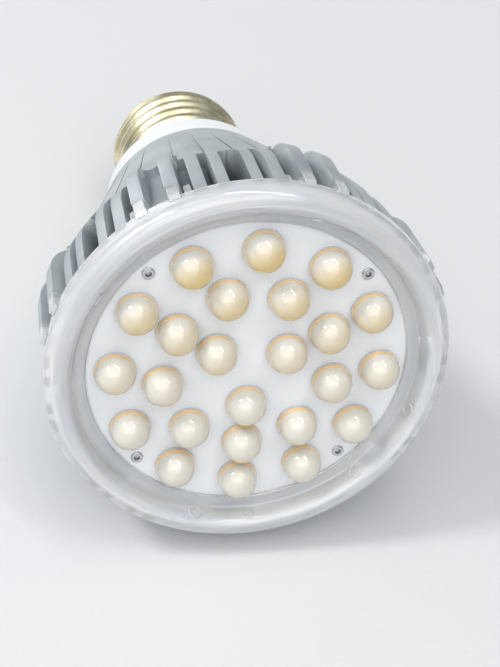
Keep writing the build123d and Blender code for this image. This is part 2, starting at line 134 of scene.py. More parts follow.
def grid_faces(rows: int, columns: int, wrap_rows: bool, wrap_columns: bool) -> np.ndarray:
    """The four-sided faces of a grid of points.

    Args:
        rows: Rows of the grid.
        columns: Columns of the grid.
        wrap_rows: Whether the last row joins the first.
        wrap_columns: Whether the last column joins the first.

    Returns:
        An array of shape (faces, 4) of vertex numbers.
    """
    row = np.arange(rows if wrap_rows else rows - 1)
    column = np.arange(columns if wrap_columns else columns - 1)
    here, right = np.meshgrid(row, column, indexing="ij")
    below = (here + 1) % rows
    beside = (right + 1) % columns
    corners = [(here, right), (here, beside), (below, beside), (below, right)]
    quads = [row_number * columns + column_number for row_number, column_number in corners]
    return np.stack(quads, axis=2).reshape(-1, 4)


def make_piece(
    name: str,
    points: np.ndarray,
    faces: np.ndarray | list,
    material: bpy.types.Material,
    smoothing: Smoothing = Smoothing.TURNED,
) -> bpy.types.Object:
    """Makes a mesh object from whole arrays, with merged poles and outward faces.

    Args:
        name: The piece's name.
        points: Vertices in millimetres, shape (points, 3).
        faces: Vertex numbers of each face.
        material: Its finish.
        smoothing: How round the shading looks.

    Returns:
        The new object, at the origin.
    """
    mesh = bpy.data.meshes.new(name)
    mesh.from_pydata((points.reshape(-1, 3) * MM).tolist(), [], list(faces))
    sheet = bmesh.new()
    sheet.from_mesh(mesh)
    bmesh.ops.remove_doubles(sheet, verts=sheet.verts, dist=SAME_POINT)
    bmesh.ops.recalc_face_normals(sheet, faces=sheet.faces)
    sheet.to_mesh(mesh)
    sheet.free()
    return place_mesh(name, mesh, material, smoothing)


def round_edges(piece: bpy.types.Object, width: float, segments: int, angle: float) -> bpy.types.Modifier:
    """Rounds the sharp edges of a piece.

    Args:
        piece: The piece.
        width: The width of the rounding in millimetres.
        segments: How many faces cross it.
        angle: The least angle of an edge that is rounded, in degrees.

    Returns:
        The bevel modifier.
    """
    bevel = piece.modifiers.new("rounded_edges", "BEVEL")
    bevel.width = width * MM
    bevel.segments = segments
    bevel.limit_method = "ANGLE"
    bevel.angle_limit = math.radians(angle)
    return bevel


def points_of(mesh: bpy.types.Mesh) -> np.ndarray:
    """A mesh's points.

    Args:
        mesh: The mesh, in metres.

    Returns:
        An array of shape (points, 3), in millimetres.
    """
    place = np.empty(len(mesh.vertices) * 3)
    mesh.vertices.foreach_get("co", place)
    return place.reshape(-1, 3) / MM


def write_value(mesh: bpy.types.Mesh, name: str, values: np.ndarray) -> None:
    """Writes one value at each of a mesh's points, for its material to read."""
    mesh.attributes.new(name, "FLOAT", "POINT").data.foreach_set("value", values)


def place_mesh(
    name: str, mesh: bpy.types.Mesh, material: bpy.types.Material, smoothing: Smoothing
) -> bpy.types.Object:
    """Links a mesh as an object at the origin, smooths it, dresses it and lets it ride on the lamp.

    Args:
        name: The piece's name.
        mesh: Its mesh, in metres.
        material: Its finish.
        smoothing: How round the shading looks.

    Returns:
        The new object.
    """
    mesh.materials.clear()
    mesh.materials.append(material)
    mesh.polygons.foreach_set("use_smooth", np.ones(len(mesh.polygons), dtype=bool))
    if smoothing is not Smoothing.ROUND:
        mesh.set_sharp_from_angle(angle=math.radians(smoothing.value))
    piece = bpy.data.objects.new(name, mesh)
    bpy.context.scene.collection.objects.link(piece)
    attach(piece, "root")
    return piece


def eased(value: np.ndarray) -> np.ndarray:
    """A smooth step, v * v * (3 - 2 * v), of the value v cut to 0 to 1."""
    share = np.clip(value, 0.0, 1.0)
    return share * share * (3 - 2 * share)


class Recipe:
    """A material's node tree, with short methods for the nodes that these finishes use."""

    def __init__(self, name: str) -> None:
        """Starts a material with one Principled shader.

        Args:
            name: The material's name.
        """
        self.material = bpy.data.materials.new(name)
        self.material.use_nodes = True
        self.tree = self.material.node_tree
        self.shader = self.tree.nodes["Principled BSDF"]
        self.place = self.tree.nodes.new("ShaderNodeTexCoord").outputs["Object"]

    def set(self, **values: float | tuple) -> None:
        """Sets sockets of the shader, named with _ for each space."""
        for name, value in values.items():
            self.shader.inputs[name.replace("_", " ")].default_value = value

    def link(self, source: bpy.types.NodeSocket, target: bpy.types.NodeSocket) -> None:
        """Joins two sockets."""
        self.tree.links.new(source, target)

    def noise(
        self,
        size: float,
        detail: float = 3.0,
        roughness: float = 0.55,
        where: bpy.types.NodeSocket | None = None,
    ) -> bpy.types.NodeSocket:
        """Cloudy noise whose lumps are about size millimetres across.

        Args:
            size: The size of the largest lumps.
            detail: How many finer octaves are added.
            roughness: How strong the finer octaves are.
            where: The place that is looked up, or None for the piece's own coordinates.

        Returns:
            The noise's Fac socket.
        """
        node = self.tree.nodes.new("ShaderNodeTexNoise")
        node.inputs["Scale"].default_value = 1.0 / (size * MM)
        node.inputs["Detail"].default_value = detail
        node.inputs["Roughness"].default_value = roughness
        self.link(where or self.place, node.inputs["Vector"])
        return node.outputs["Fac"]

    def radius(self) -> bpy.types.NodeSocket:
        """A point's distance from the lamp's axis.

        Formula: the length of (x, y, 0), in metres.

        Returns:
            The distance's Value socket.
        """
        flat = self.tree.nodes.new("ShaderNodeVectorMath")
        flat.operation = "MULTIPLY"
        flat.inputs[1].default_value = (1.0, 1.0, 0.0)
        self.link(self.place, flat.inputs[0])
        length = self.tree.nodes.new("ShaderNodeVectorMath")
        length.operation = "LENGTH"
        self.link(flat.outputs["Vector"], length.inputs[0])
        return length.outputs["Value"]

    def round_place(self, along: float) -> bpy.types.NodeSocket:
        """A place that changes with radius and height, and only by the share along round the axis.

        Formula: (radius, radius, z) + along * (x, y, z).

        Args:
            along: How much of the place round the axis is let in.

        Returns:
            The place's Vector socket.
        """
        apart = self.tree.nodes.new("ShaderNodeSeparateXYZ")
        self.link(self.place, apart.inputs[0])
        join = self.tree.nodes.new("ShaderNodeCombineXYZ")
        radius = self.radius()
        self.link(radius, join.inputs["X"])
        self.link(radius, join.inputs["Y"])
        self.link(apart.outputs["Z"], join.inputs["Z"])
        shift = self.tree.nodes.new("ShaderNodeVectorMath")
        shift.operation = "MULTIPLY_ADD"
        shift.inputs[1].default_value = (along, along, along)
        self.link(self.place, shift.inputs[0])
        self.link(join.outputs["Vector"], shift.inputs[2])
        return shift.outputs["Vector"]

    def ramp(
        self, value: bpy.types.NodeSocket, ends: tuple[float, float], low: Colour, high: Colour
    ) -> bpy.types.NodeSocket:
        """A colour that runs from low to high as the value runs between two ends.

        Args:
            value: The socket that is looked up.
            ends: The values at which the run starts and ends.
            low: The colour up to the first end.
            high: The colour from the second end.

        Returns:
            The colour socket.
        """
        node = self.tree.nodes.new("ShaderNodeValToRGB")
        for element, position, colour in zip(node.color_ramp.elements, ends, (low, high)):
            element.position = position
            element.color = (*colour, 1.0)
        self.link(value, node.inputs["Fac"])
        return node.outputs["Color"]

    def scaled(self, value: bpy.types.NodeSocket, low: float, high: float) -> bpy.types.NodeSocket:
        """The value's range of 0 to 1 moved to the range of low to high.

        Args:
            value: The socket that is moved.
            low: What 0 becomes.
            high: What 1 becomes.

        Returns:
            The moved value's socket.
        """
        node = self.tree.nodes.new("ShaderNodeMapRange")
        node.inputs["To Min"].default_value = low
        node.inputs["To Max"].default_value = high
        self.link(value, node.inputs["Value"])
        return node.outputs["Result"]

    def radius_between(self, low: float, high: float) -> bpy.types.NodeSocket:
        """How far a point's distance from the lamp's axis is on its way between two radii.

        Args:
            low: The radius in millimetres at which this is 0.
            high: The radius in millimetres at which this is 1.

        Returns:
            The value's socket.
        """
        node = self.tree.nodes.new("ShaderNodeMapRange")
        node.inputs["From Min"].default_value = low * MM
        node.inputs["From Max"].default_value = high * MM
        self.link(self.radius(), node.inputs["Value"])
        return node.outputs["Result"]

    def mixed(
        self,
        share: bpy.types.NodeSocket,
        first: Colour | bpy.types.NodeSocket,
        second: Colour | bpy.types.NodeSocket,
    ) -> bpy.types.NodeSocket:
        """The first colour blended into the second as share goes from 0 to 1.

        Args:
            share: How much of the second colour there is.
            first: A colour or a colour socket.
            second: A colour or a colour socket.

        Returns:
            The colour socket.
        """
        node = self.tree.nodes.new("ShaderNodeMix")
        node.data_type = "RGBA"
        colours = [socket for socket in node.inputs if socket.type == "RGBA"]
        for socket, colour in zip(colours, (first, second)):
            if isinstance(colour, tuple):
                socket.default_value = (*colour, 1.0)
            else:
                self.link(colour, socket)
        self.link(share, node.inputs["Factor"])
        return next(socket for socket in node.outputs if socket.type == "RGBA")

    def written(self, name: str) -> bpy.types.NodeSocket:
        """The value that a mesh carries at each of its points.

        Args:
            name: The name under which it is written.

        Returns:
            The value's socket.
        """
        node = self.tree.nodes.new("ShaderNodeAttribute")
        node.attribute_name = name
        return node.outputs["Fac"]

    def bump(self, height: bpy.types.NodeSocket, depth: float) -> None:
        """Bumps the surface.

        Args:
            height: The socket that gives the height, from 0 to 1.
            depth: How deep a height of 1 is, in millimetres.
        """
        node = self.tree.nodes.new("ShaderNodeBump")
        node.inputs["Distance"].default_value = depth * MM
        self.link(height, node.inputs["Height"])
        self.link(node.outputs["Normal"], self.shader.inputs["Normal"])


@dataclass(frozen=True)
class CastAluminium:
    """Die-cast aluminium with a fine blasted skin, with painted shade down in the slots.

    The casting's mesh carries at each point how much of that painted shade it takes, a value which HeatSink
    writes.
    """

    light: Colour = (0.5, 0.545, 0.56)
    dark: Colour = (0.38, 0.42, 0.44)
    # Painted shade: the dark colour put down in the slots, where shade falls.
    slot_shade: Colour = (0.05, 0.06, 0.085)
    metal: float = 0.4
    cloud: float = 9.0
    cloud_ends: tuple = (0.3, 0.65)
    mottle: float = 3.0
    roughness: tuple = (0.34, 0.46)
    grain: float = 0.35
    grain_depth: float = 0.012

    def material(self) -> bpy.types.Material:
        """Makes the finish as nodes.

        Returns:
            The material.
        """
        recipe = Recipe("cast_aluminium")
        recipe.set(Metallic=self.metal)
        skin = recipe.ramp(recipe.noise(self.cloud, 5.0), self.cloud_ends, self.dark, self.light)
        # Painted shade down in the slots, darker the further down a point lies.
        colour = recipe.mixed(recipe.written("slot_shade_share"), skin, self.slot_shade)
        recipe.link(colour, recipe.shader.inputs["Base Color"])
        gloss = recipe.scaled(recipe.noise(self.mottle), *self.roughness)
        recipe.link(gloss, recipe.shader.inputs["Roughness"])
        recipe.bump(recipe.noise(self.grain, 2.0), self.grain_depth)
        return recipe.material


@dataclass(frozen=True)
class PlatedBrass:
    """The pale brass of the pressed screw shell, with painted shade in the roots of its thread."""

    light: Colour = (0.88, 0.82, 0.56)
    dark: Colour = (0.56, 0.51, 0.33)
    # Painted shade: the dark colour in the roots of the thread, where shade falls.
    root_shade: Colour = (0.09, 0.07, 0.035)
    root: float = 12.12
    bright: float = 12.4
    cloud: float = 4.0
    cloud_ends: tuple = (0.35, 0.6)
    mottle: float = 1.6
    roughness: tuple = (0.28, 0.4)
    grain: float = 0.5
    grain_depth: float = 0.004

    def material(self) -> bpy.types.Material:
        """Makes the finish as nodes.

        Returns:
            The material.
        """
        recipe = Recipe("brass_shell")
        recipe.set(Metallic=1.0)
        unshaded = recipe.ramp(recipe.noise(self.cloud, 4.0), self.cloud_ends, self.dark, self.light)
        # Painted shade in the roots of the thread, giving way to the brass between the root and bright
        # radii.
        colour = recipe.mixed(recipe.radius_between(self.root, self.bright), self.root_shade, unshaded)
        recipe.link(colour, recipe.shader.inputs["Base Color"])
        gloss = recipe.scaled(recipe.noise(self.mottle), *self.roughness)
        recipe.link(gloss, recipe.shader.inputs["Roughness"])
        recipe.bump(recipe.noise(self.grain, 2.0), self.grain_depth)
        return recipe.material


@dataclass(frozen=True)
class ClearPlastic:
    """Clear moulded plastic with a faint blue tint and the flow lines of its mould running round it."""

    clear: Colour = (1.0, 1.0, 1.0)
    tint: Colour = (0.88, 0.92, 0.97)
    roughness: float = 0.1
    index: float = 1.45
    clearness: float = 0.58
    coat_roughness: float = 0.08
    line: float = 1.6
    line_turn: float = 0.12
    line_ends: tuple = (0.38, 0.55)
    line_depth: float = 0.05

    def material(self) -> bpy.types.Material:
        """Makes the finish as nodes.

        Returns:
            The material.
        """
        recipe = Recipe("clear_ring")
        recipe.set(
            Roughness=self.roughness,
            IOR=self.index,
            Transmission_Weight=self.clearness,
            Coat_Weight=1.0,
            Coat_Roughness=self.coat_roughness,
        )
        lines = recipe.noise(self.line, 2.0, where=recipe.round_place(self.line_turn))
        colour = recipe.ramp(lines, self.line_ends, self.tint, self.clear)
        recipe.link(colour, recipe.shader.inputs["Base Color"])
        recipe.bump(lines, self.line_depth)
        return recipe.material


@dataclass(frozen=True)
class Moulding:
    """Opaque moulded plastic, lacquer or rubber with a slight unevenness.

    Its grain is a size in millimetres; cloud and mottle say how many grains wide the unevenness of its
    colour and of its gloss is.
    """

    name: str
    colour: Colour
    roughness: float = 0.35
    spread: float = 0.04
    grain: float = 1.2
    depth: float = 0.01
    coat: float = 0.0
    coat_roughness: float = 0.08
    cloud: float = 5.0
    cloud_ends: tuple = (0.35, 0.65)
    mottle: float = 3.0
    uneven: float = 0.15

    def material(self) -> bpy.types.Material:
        """Makes the finish as nodes.

        Returns:
            The material.
        """
        recipe = Recipe(self.name)
        recipe.set(Coat_Weight=self.coat, Coat_Roughness=self.coat_roughness)
        darker = tuple(channel * (1.0 - self.spread) for channel in self.colour)
        clouds = recipe.noise(self.grain * self.cloud)
        colour = recipe.ramp(clouds, self.cloud_ends, darker, self.colour)
        recipe.link(colour, recipe.shader.inputs["Base Color"])
        smooth = self.roughness * (1.0 - self.uneven)
        rough = self.roughness * (1.0 + self.uneven)
        gloss = recipe.scaled(recipe.noise(self.grain * self.mottle), smooth, rough)
        recipe.link(gloss, recipe.shader.inputs["Roughness"])
        recipe.bump(recipe.noise(self.grain, 2.0), self.depth)
        return recipe.material


@dataclass(frozen=True)
class PlainMetal:
    """Tinned or plated steel, and other small metal pieces."""

    name: str
    colour: Colour
    roughness: float = 0.3
    spread: float = 0.18
    cloud: float = 1.5
    cloud_ends: tuple = (0.35, 0.65)
    mottle: float = 0.8
    uneven: float = 0.2
    grain: float = 0.3
    grain_depth: float = 0.003

    def material(self) -> bpy.types.Material:
        """Makes the finish as nodes.

        Returns:
            The material.
        """
        recipe = Recipe(self.name)
        recipe.set(Metallic=1.0)
        darker = tuple(channel * (1.0 - self.spread) for channel in self.colour)
        colour = recipe.ramp(recipe.noise(self.cloud), self.cloud_ends, darker, self.colour)
        recipe.link(colour, recipe.shader.inputs["Base Color"])
        smooth = self.roughness * (1.0 - self.uneven)
        rough = self.roughness * (1.0 + self.uneven)
        gloss = recipe.scaled(recipe.noise(self.mottle), smooth, rough)
        recipe.link(gloss, recipe.shader.inputs["Roughness"])
        recipe.bump(recipe.noise(self.grain), self.grain_depth)
        return recipe.material


@dataclass(frozen=True)
class MilkyLens:
    """The lens of an LED: milky and glossy, with amber at its rim, amber and painted light on one side, and
    painted shade low on its puck.

    The lens mesh carries three values at each point, for the amber and painted light, the rim and the
    painted shade, which LightEngine writes.
    """

    cream: Colour = (0.67, 0.65, 0.58)
    # The amber is partly the phosphor seen through the lens and partly painted light, where the lens focuses
    # light onto its phosphor.
    amber: Colour = (0.69, 0.5, 0.18)
    rim: Colour = (0.84, 0.56, 0.24)
    # Painted shade: the grey low on the side of the puck, where the lens meets the board.
    foot_shade: Colour = (0.55, 0.57, 0.6)
    roughness: float = 0.06
    index: float = 1.45
    coat_roughness: float = 0.05

    def material(self) -> bpy.types.Material:
        """Makes the finish as nodes.

        Returns:
            The material.
        """
        recipe = Recipe("led_lens")
        recipe.set(
            Roughness=self.roughness,
            IOR=self.index,
            Coat_Weight=1.0,
            Coat_Roughness=self.coat_roughness,
        )
        # Amber and painted light on one fixed side of each lens, then the amber rim, then painted shade low
        # on the puck.
        warm = recipe.mixed(recipe.written("amber_and_painted_light"), self.cream, self.amber)
        edge = recipe.mixed(recipe.written("rim"), warm, self.rim)
        colour = recipe.mixed(recipe.written("foot_shade"), edge, self.foot_shade)
        recipe.link(colour, recipe.shader.inputs["Base Color"])
        return recipe.material


@dataclass
class LightEngine:
    """The LEDs in three rings: a milky moulding over a low yellow bed of phosphor."""

    rings: tuple = (("outer", 19.6, 12, 90.0), ("middle", 12.8, 9, 30.0), ("inner", 5.95, 3, 30.0))
    board_face: float = 57.6
    puck_radius: float = 3.05
    puck_height: float = 1.2
    foot_gap: float = 0.02
    foot_inset: float = 0.1
    foot_height: float = 0.35
    foot_margin: float = 0.05
    lip_height: float = 0.12
    lip_rounding: float = 0.15
    lip_steps: int = 5
    lens_radius: float = 2.98
    lens_start: float = 1.0
    lens_steps: int = 24
    phosphor_radius: float = 2.5
    phosphor_gap: float = 0.1
    phosphor_base: float = 0.6
    phosphor_rise: float = 0.7
    phosphor_steps: int = 10
    rim_from: float = 0.1
    rim_height: float = 0.35
    rim_depth: float = 0.5
    # The fixed side of every lens that is painted amber: partly the phosphor seen through it, partly painted
    # light that the lens focuses there.
    painted_light_side: tuple = (0.42, -0.75, 0.3)
    warm_middle: float = 0.5
    warm_slope: float = 0.9
    warm_from: float = 8.0
    warm_span: float = 26.0
    warm_least: float = 0.12
    patch_side: tuple = (0.0, -0.854, 0.521)
    patch_from: float = 0.8
    patch_warmth: float = 0.6
    turn_steps: int = 64

    def build(self, amber: bpy.types.Material, milky: bpy.types.Material) -> None:
        """Builds every LED as a lens piece with a phosphor piece inside it.

        Args:
            amber: The finish of the phosphor.
            milky: The finish of the lenses.
        """
        face = self.board_face
        dome_base = face + self.puck_height
        shoulder = dome_base - self.rim_depth
        lip_centre = (self.puck_radius - self.lip_rounding, dome_base - self.lip_rounding)
        bed = np.vstack([
            [[0.0, face + self.phosphor_gap], [self.phosphor_radius, face + self.phosphor_gap]],
            self.crown(face + self.phosphor_base),
        ])
        dome = np.vstack([
            [[0.0, face + self.foot_gap], [self.puck_radius - self.foot_inset, face + self.foot_gap]],
            [[self.puck_radius, face + self.foot_height], [self.puck_radius, shoulder]],
            [[self.puck_radius, shoulder + self.lip_height]],
            arc(lip_centre, self.lip_rounding, 0.0, 90.0, self.lip_steps),
            arc((0.0, dome_base), self.lens_radius, self.lens_start, 90.0, self.lens_steps),
        ])
        for ring, radius, count, start in self.rings:
            angle = np.radians(start + np.arange(count) * 360.0 / count)
            for index, (x, y) in enumerate(zip(radius * np.cos(angle), radius * np.sin(angle))):
                label = f"{ring}_{index + 1:02d}"
                phosphor = self.turn(f"phosphor_{label}", bed, (x, y), amber)
                piece = self.turn(f"lens_{label}", dome, (x, y), milky)
                self.write_glow(piece.data, np.array([x, y, dome_base]))
                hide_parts(f"led_{label}")
        LOG.info("LEDs built")

    def write_glow(self, mesh: bpy.types.Mesh, centre: np.ndarray) -> None:
        """Writes how much amber, painted light and painted shade shows at each point of a lens.

        Formula: rim falls from 1 to 0 over rim_height above the base of the dome, and is squared. The
        painted shade is 1 on the side of the puck, rim_depth below that base. The amber rises from 0 to 1
        along a fixed side, across the lens, is scaled by how far up the board the LED stands, and is raised
        on every lens in a round patch towards patch_side. That amber is partly the phosphor seen through the
        lens and partly painted light, where the lens focuses light onto its phosphor.

        Args:
            mesh: The lens.
            centre: The centre of its dome, in millimetres.
        """
        place = points_of(mesh) - centre
        rim = np.clip(1.0 - (place[:, 2] - self.rim_from) / self.rim_height, 0.0, 1.0)
        # Painted shade low on the side of the puck.
        foot_shade = (place[:, 2] < self.foot_margin - self.rim_depth).astype(float)
        # Amber and painted light, on the same fixed side of every lens.
        side = place @ np.array(self.painted_light_side) / self.lens_radius
        across = np.clip(self.warm_middle + self.warm_slope * side, 0.0, 1.0)
        up_board = np.clip((centre[1] + self.warm_from) / self.warm_span, self.warm_least, 1.0)
        towards = place @ np.array(self.patch_side) / self.lens_radius
        patch = np.clip((towards - self.patch_from) / (1.0 - self.patch_from), 0.0, 1.0)
        amber_and_painted_light = np.clip(across * up_board + self.patch_warmth * patch, 0.0, 1.0)
        for name, values in (("rim", rim * rim), ("foot_shade", foot_shade), ("amber_and_painted_light", amber_and_painted_light)):
            write_value(mesh, name, values)

    def crown(self, height: float) -> np.ndarray:
        """The low crown of the phosphor.

        Formula: height + rise * (1 - (r / radius) squared), with r running in to the axis.

        Args:
            height: The height of its edge.

        Returns:
            An array of shape (points, 2) of radius and height.
        """
        radius = np.linspace(self.phosphor_radius, 0.0, self.phosphor_steps)
        rise = height + self.phosphor_rise * (1.0 - (radius / self.phosphor_radius) ** 2)
        return np.column_stack([radius, rise])

    def turn(
        self, name: str, outline: np.ndarray, centre: tuple[float, float], material: bpy.types.Material
    ) -> bpy.types.Object:
        """Turns an outline about an upright axis.

        Args:
            name: The piece's name.
            outline: Array of shape (points, 2) of radius and height.
            centre: Where the axis stands on the board.
            material: The piece's finish.

        Returns:
            The new object.
        """
        points = revolved(outline, self.turn_steps) + np.array([centre[0], centre[1], 0.0])
        faces = grid_faces(len(outline), self.turn_steps, False, True)
        return make_piece(name, points, faces, material, Smoothing.TURNED)


@dataclass
class RivetStems:
    """The stub of the stem that stays in each hollow rivet when it is pulled tight."""

    circle: float = 22.1
    first: float = 45.0
    count: int = 4
    radius: float = 0.42
    bottom: float = 55.9
    top: float = 57.72
    shoulder_drop: float = 0.1
    crown_drop: float = 0.02
    crown_share: float = 0.85
    steps: int = 32

    def build(self, material: bpy.types.Material) -> None:
        """Builds the stubs as one piece of turned pins with domed ends.

        Formula: one turned pin, moved to each of the evenly spaced places on the circle.

        Args:
            material: Their finish.
        """
        outline = np.array([
            [0.0, self.bottom],
            [self.radius, self.bottom],
            [self.radius, self.top - self.shoulder_drop],
            [self.radius * self.crown_share, self.top - self.crown_drop],
            [0.0, self.top],
        ])
        pin = revolved(outline, self.steps).reshape(-1, 3)
        turns = np.radians(self.first + np.arange(self.count) * 360.0 / self.count)
        shifts = self.circle * np.column_stack([np.cos(turns), np.sin(turns), np.zeros(self.count)])
        pins = pin + shifts[:, None, :]
        loop = grid_faces(len(outline), self.steps, False, True)
        faces = (loop + np.arange(self.count)[:, None, None] * len(pin)).reshape(-1, 4)
        piece = make_piece("rivet_stems", pins, faces, material)
        LOG.info("rivet stems built")


@dataclass
class ScrewShell:
    """The pressed shell with its rounded right-handed thread."""

    crest: float = 13.1
    root: float = 12.15
    pitch: float = 3.63
    shift: float = 0.53
    band: float = 3.4
    thread_end: float = -22.5
    end_height: float = -24.0
    end_radius: float = 11.5
    wall: float = 0.3
    fade_in: float = 2.0
    fade_out: float = 1.6
    curl_steps: int = 12
    along: int = 250
    around: int = 160

    def build(self, material: bpy.types.Material) -> None:
        """Builds the shell as an outer wall, a rolled end and an inner wall.

        Formula: radius = crest - depth * fade * (1 - cos(phase)) / 2. The phase is a whole turn for each
        pitch along the axis, less the angle round it. The fade rises smoothly from 0 to 1 just below the
        plain band and falls back to 0 at the end of the thread.

        Args:
            material: Its finish.
        """
        height = np.linspace(0.0, self.thread_end, self.along)[:, None]
        angle = np.linspace(0.0, FULL_TURN, self.around, endpoint=False)[None, :]
        phase = FULL_TURN * (height + self.shift) / self.pitch - angle
        fade_in = eased((-height - self.band) / self.fade_in)
        fade_out = eased((height - self.thread_end) / self.fade_out)
        wave = (1 - np.cos(phase)) / 2
        radius = self.crest - (self.crest - self.root) * (fade_in * fade_out) * wave
        heights = np.repeat(height, self.around, axis=1)
        curl = np.linspace(0.0, np.pi / 2, self.curl_steps)[1:, None]
        curl_radius = self.end_radius + (self.crest - self.end_radius) * np.cos(curl)
        curl_height = self.thread_end - (self.thread_end - self.end_height) * np.sin(curl)
        outer_radius = np.vstack([radius, np.repeat(curl_radius, self.around, axis=1)])
        outer_height = np.vstack([heights, np.repeat(curl_height, self.around, axis=1)])
        all_radius = np.vstack([outer_radius, outer_radius[::-1] - self.wall])
        all_height = np.vstack([outer_height, outer_height[::-1]])
        grid = np.stack([all_radius * np.cos(angle), all_radius * np.sin(angle), all_height], axis=2)
        faces = grid_faces(grid.shape[0], self.around, True, True)
        piece = make_piece("threaded_shell", grid, faces, material, Smoothing.TURNED)
        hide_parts("screw_shell")
        LOG.info("screw shell built")


@dataclass
class ClearRing:
    """The clear ring round the board, with hooks in the slots and lugs over the tall fins."""

    lip_radius: float = 23.7
    root_radius: float = 25.5
    outer_radius: float = 29.8
    crest_height: float = 61.1
    lip_height: float = 58.15
    board_face: float = 57.6
    rear: float = 57.2
    wall: float = 1.4
    lip_slope: float = 0.15
    wall_slope: float = 0.9
    roundings: tuple = (0.1, 0.2, 0.6, 1.3, 2.2, 0.15, 0.15, 0.9, 0.5, 0.1)
    steps: int = 288
    sectors: int = 8
    first_pair: float = 30.0
    hook_turn: float = 8.3
    hook_width: float = 1.1
    hook: tuple = ((27.9, 57.19), (27.3, 53.6), (26.4, 53.6), (27.5, 52.4), (28.5, 52.4), (28.7, 57.19))
    lug_turn: float = 4.71
    lug_width: float = 1.7
    lug: tuple = ((28.7, 57.19), (28.7, 54.7), (30.4, 54.7), (30.4, 57.6), (29.82, 58.4), (29.82, 57.19))
    tab_rounding: float = 0.12
    tab_segments: int = 3
    tab_angle: float = 30.0
    mark_angles: tuple = (75.5, 150.3, 255.5, 274.5, 315.0, 345.0)
    mark_place: tuple = (25.75, 59.7)
    mark_radius: float = 0.95
    mark_thickness: float = 0.11
    mark_steps: int = 40
    mark_sides: int = 8
    wall_lean: float = 17.0

    def build(self, material: bpy.types.Material) -> None:
        """Builds the turned ring, its two sets of tabs and the marks on its inner wall.

        Formula: the corners of the section run from the lip up the inner wall, over the crest, down the
        outside and back along the hollow rear; each has its own rounding.

        Args:
            material: Its finish.
        """
        inner = self.outer_radius - self.wall
        corners = [
            (self.lip_radius, self.board_face),
            (self.lip_radius, self.lip_height),
            (self.root_radius, self.lip_height + self.lip_slope),
            (self.root_radius + self.wall_slope, self.crest_height),
            (self.outer_radius, self.crest_height),
            (self.outer_radius, self.rear),
            (inner, self.rear),
            (inner, self.crest_height - self.wall),
            (self.root_radius + self.wall, self.crest_height - self.wall),
            (self.root_radius + self.wall_slope, self.board_face),
        ]
        outline = rounded_outline([(*corner, rounding) for corner, rounding in zip(corners, self.roundings)])
        grid = revolved(outline, self.steps)
        faces = grid_faces(len(outline), self.steps, True, True)
        ring = make_piece("clear_ring_body", grid, faces, material, Smoothing.TURNED)
        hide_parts("trim_ring")
        self.tabs("ring_hooks", np.array(self.hook), self.hook_width, self.hook_turn, material)
        self.tabs("ring_lugs", np.array(self.lug), self.lug_width, self.lug_turn, material)
        self.marks(material)
        LOG.info("clear ring built")

    def marks(self, material: bpy.types.Material) -> None:
        """The round marks that the mould's pins left on the inner wall.

        Formula: a thin torus for each mark, whose circle lies in the plane of the wall.

        Args:
            material: Their finish.
        """
        turns = np.radians(self.mark_angles)[:, None, None]
        out = np.concatenate([np.cos(turns), np.sin(turns), 0 * turns], axis=2)
        side = np.concatenate([-np.sin(turns), np.cos(turns), 0 * turns], axis=2)
        lift = np.array([0.0, 0.0, 1.0])
        lean = math.radians(self.wall_lean)
        rise = math.sin(lean) * out + math.cos(lean) * lift
        face = math.sin(lean) * lift - math.cos(lean) * out
        centre = self.mark_place[0] * out + self.mark_place[1] * lift
        around = np.linspace(0.0, FULL_TURN, self.mark_steps, endpoint=False)[:, None]
        ringed = np.cos(around) * side + np.sin(around) * rise
        circles = []
        for turn in np.linspace(0.0, FULL_TURN, self.mark_sides, endpoint=False):
            reach = self.mark_radius + self.mark_thickness * math.cos(turn)
            circles.append(centre + reach * ringed + self.mark_thickness * math.sin(turn) * face)
        grid = np.stack(circles, axis=1)
        loop = grid_faces(self.mark_sides, self.mark_steps, True, True)
        starts = np.arange(len(self.mark_angles)) * self.mark_sides * self.mark_steps
        faces = (loop + starts[:, None, None]).reshape(-1, 4)
        piece = make_piece("ring_pin_marks", grid, faces, material, Smoothing.ROUND)

    def tabs(
        self, name: str, outline: np.ndarray, width: float, turn: float, material: bpy.types.Material
    ) -> None:
        """Copies of a flat tab either side of each pair of tall fins.

        Formula: the outline stands in the plane of its angle; its two faces are half a width to each
        side of that plane, and the walls join them.

        Args:
            name: The piece's name.
            outline: (radius, height) points of the tab.
            width: Its width across.
            turn: Its angle from the centre of the pair, in degrees.
            material: Its finish.
        """
        centres = self.first_pair + np.arange(self.sectors) * 360.0 / self.sectors
        angles = np.radians(np.concatenate([centres - turn, centres + turn]))
        count = len(outline)
        points = []
        faces = []
        for index, angle in enumerate(angles):
            out = np.array([math.cos(angle), math.sin(angle), 0.0])
            side = np.array([-math.sin(angle), math.cos(angle), 0.0]) * width / 2
            flat = outline[:, :1] * out + outline[:, 1:] * np.array([0.0, 0.0, 1.0])
            points.append(np.vstack([flat - side, flat + side]))
            base = index * 2 * count
            loop = np.arange(count)
            after = (loop + 1) % count
            walls = np.column_stack([loop, after, after + count, loop + count]) + base
            faces += walls.tolist() + [(loop[::-1] + base).tolist(), (loop + count + base).tolist()]
        piece = make_piece(name, np.vstack(points), faces, material, Smoothing.CAST)
        round_edges(piece, self.tab_rounding, self.tab_segments, self.tab_angle)


